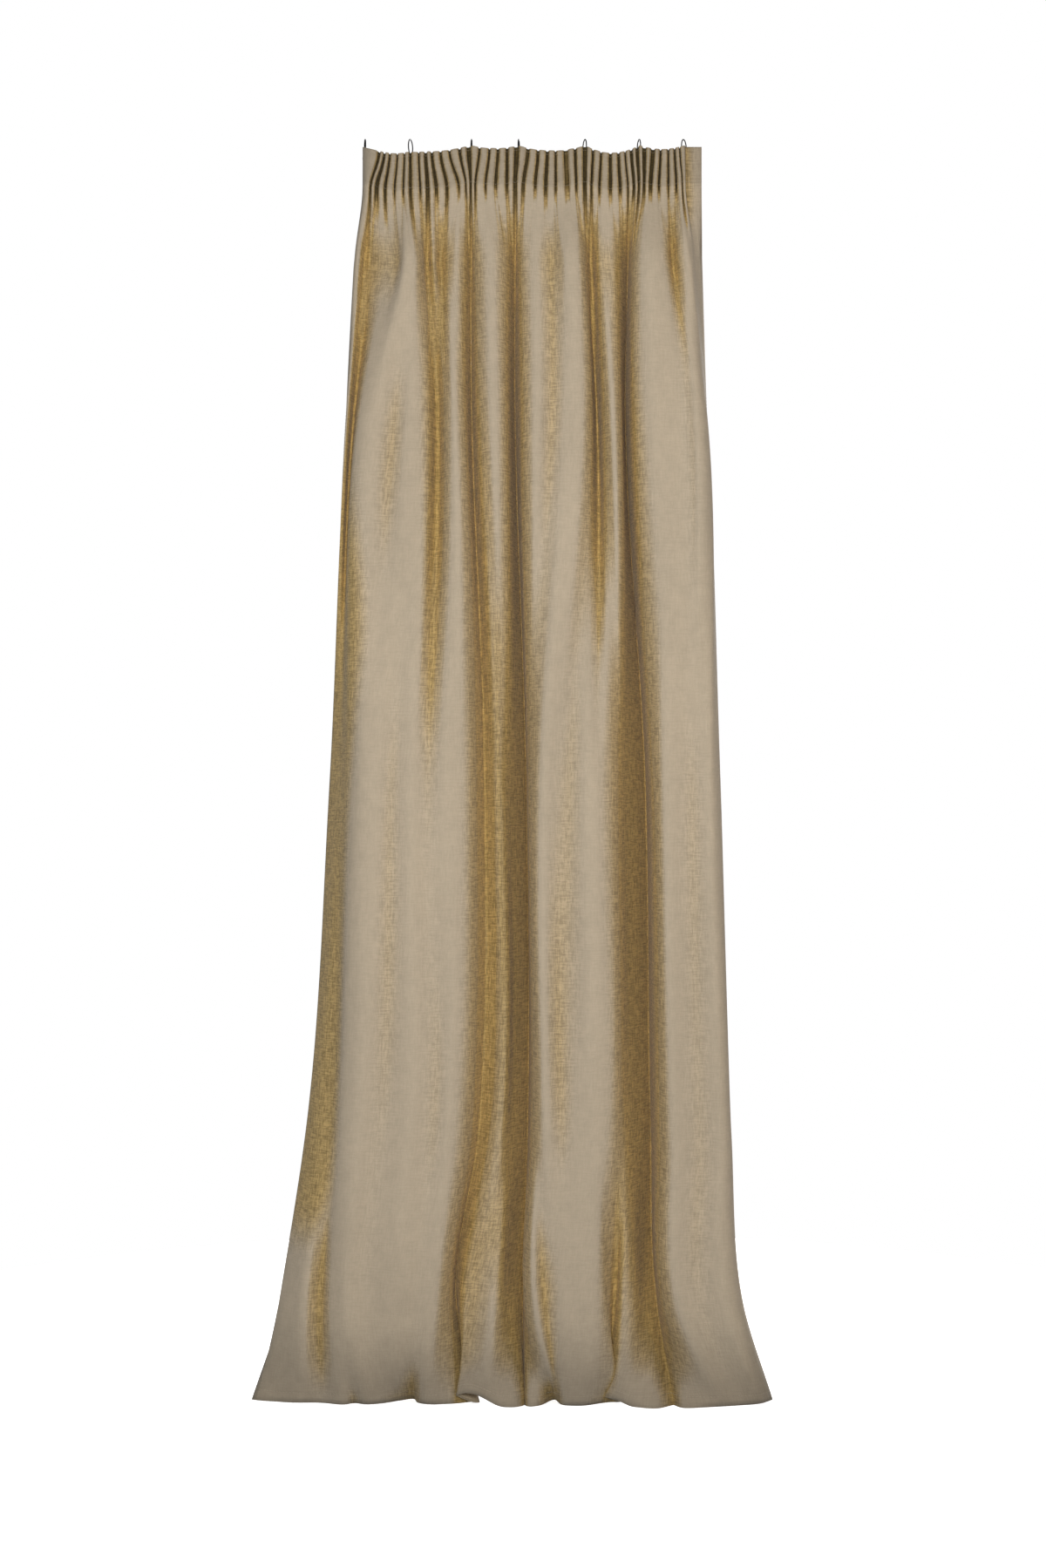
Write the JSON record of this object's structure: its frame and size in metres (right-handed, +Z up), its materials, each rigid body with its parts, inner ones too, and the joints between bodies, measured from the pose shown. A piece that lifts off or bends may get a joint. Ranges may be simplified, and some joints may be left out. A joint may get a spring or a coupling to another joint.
{
  "type": "fabric room curtain panel",
  "caption": "Pencil-pleat linen curtain panel on black wire rings and hooks, with a gathered heading tape and draw cords.",
  "frame": {"origin": "point on the curtain rod's axis, over the middle of the heading", "axes": "+X along the rod, to the right seen from the room; -Y faces the room; +Z up"},
  "size_m": [1.0336, 0.1686, 2.4926],
  "materials": {
    "linen_cloth": "matte plain-weave linen",
    "woven_tape": "matte woven tape",
    "tape_pocket_weave": "matte woven tape",
    "gather_cord": "braided cord",
    "black_wire": "satin black",
    "label_satin": "satin ribbon, blank"
  },
  "bodies": {
    "panel": {"curtain_panel": "linen_cloth", "heading_tape": "woven_tape", "pocket_band_upper": "tape_pocket_weave", "pocket_band_middle": "tape_pocket_weave", "pocket_band_lower": "tape_pocket_weave", "gather_cord_1": "gather_cord", "gather_cord_2": "gather_cord", "gather_cord_3": "gather_cord", "care_label": "label_satin", "hook_1": "black_wire"},
    "ring_1": {"ring_1": "black_wire"},
    "hook_2": {"hook_2": "black_wire"},
    "ring_2": {"ring_2": "black_wire"},
    "hook_3": {"hook_3": "black_wire"},
    "ring_3": {"ring_3": "black_wire"},
    "hook_4": {"hook_4": "black_wire"},
    "ring_4": {"ring_4": "black_wire"},
    "hook_5": {"hook_5": "black_wire"},
    "ring_5": {"ring_5": "black_wire"},
    "hook_6": {"hook_6": "black_wire"},
    "ring_6": {"ring_6": "black_wire"},
    "hook_7": {"hook_7": "black_wire"},
    "ring_7": {"ring_7": "black_wire"}
  },
  "joints": [
    {"name": "draw", "type": "slide", "parent": "panel", "child": "hook_7", "axis": [-1, 0, 0], "range_m": [0, 0.33], "deforming": ["curtain_panel", "heading_tape", "pocket_band_upper", "pocket_band_middle", "pocket_band_lower", "gather_cord_1", "gather_cord_2", "gather_cord_3"]},
    {"name": "draw_2", "type": "slide", "parent": "panel", "child": "hook_2", "axis": [-1, 0, 0], "range_m": [0, 0.0476]},
    {"name": "draw_3", "type": "slide", "parent": "panel", "child": "hook_3", "axis": [-1, 0, 0], "range_m": [0, 0.1106]},
    {"name": "draw_4", "type": "slide", "parent": "panel", "child": "hook_4", "axis": [-1, 0, 0], "range_m": [0, 0.1596]},
    {"name": "draw_5", "type": "slide", "parent": "panel", "child": "hook_5", "axis": [-1, 0, 0], "range_m": [0, 0.2278]},
    {"name": "draw_6", "type": "slide", "parent": "panel", "child": "hook_6", "axis": [-1, 0, 0], "range_m": [0, 0.284]},
    {"name": "ring_1_swivel", "type": "hinge", "parent": "panel", "child": "ring_1", "pos_m": [-0.3295, 0, -0.0056], "axis": [0, 0, 1], "range_deg": [-38, 22]},
    {"name": "ring_2_swivel", "type": "hinge", "parent": "hook_2", "child": "ring_2", "pos_m": [-0.2398, 0, -0.0056], "axis": [0, 0, 1], "range_deg": [-16, 44]},
    {"name": "ring_3_swivel", "type": "hinge", "parent": "hook_3", "child": "ring_3", "pos_m": [-0.1197, 0, -0.0056], "axis": [0, 0, 1], "range_deg": [-35, 25]},
    {"name": "ring_4_swivel", "type": "hinge", "parent": "hook_4", "child": "ring_4", "pos_m": [-0.0263, 0, -0.0056], "axis": [0, 0, 1], "range_deg": [-25, 35]},
    {"name": "ring_5_swivel", "type": "hinge", "parent": "hook_5", "child": "ring_5", "pos_m": [0.1037, 0, -0.0056], "axis": [0, 0, 1], "range_deg": [-42, 18]},
    {"name": "ring_6_swivel", "type": "hinge", "parent": "hook_6", "child": "ring_6", "pos_m": [0.2107, 0, -0.0056], "axis": [0, 0, 1], "range_deg": [-40, 20]},
    {"name": "ring_7_swivel", "type": "hinge", "parent": "hook_7", "child": "ring_7", "pos_m": [0.2993, 0, -0.0056], "axis": [0, 0, 1], "range_deg": [-8, 52]}
  ],
  "couplings": [
    {"joint": "draw_2", "follows": "draw", "ratio": 0.14265},
    {"joint": "draw_3", "follows": "draw", "ratio": 0.33365},
    {"joint": "draw_4", "follows": "draw", "ratio": 0.48219},
    {"joint": "draw_5", "follows": "draw", "ratio": 0.68893},
    {"joint": "draw_6", "follows": "draw", "ratio": 0.8591}
  ]
}
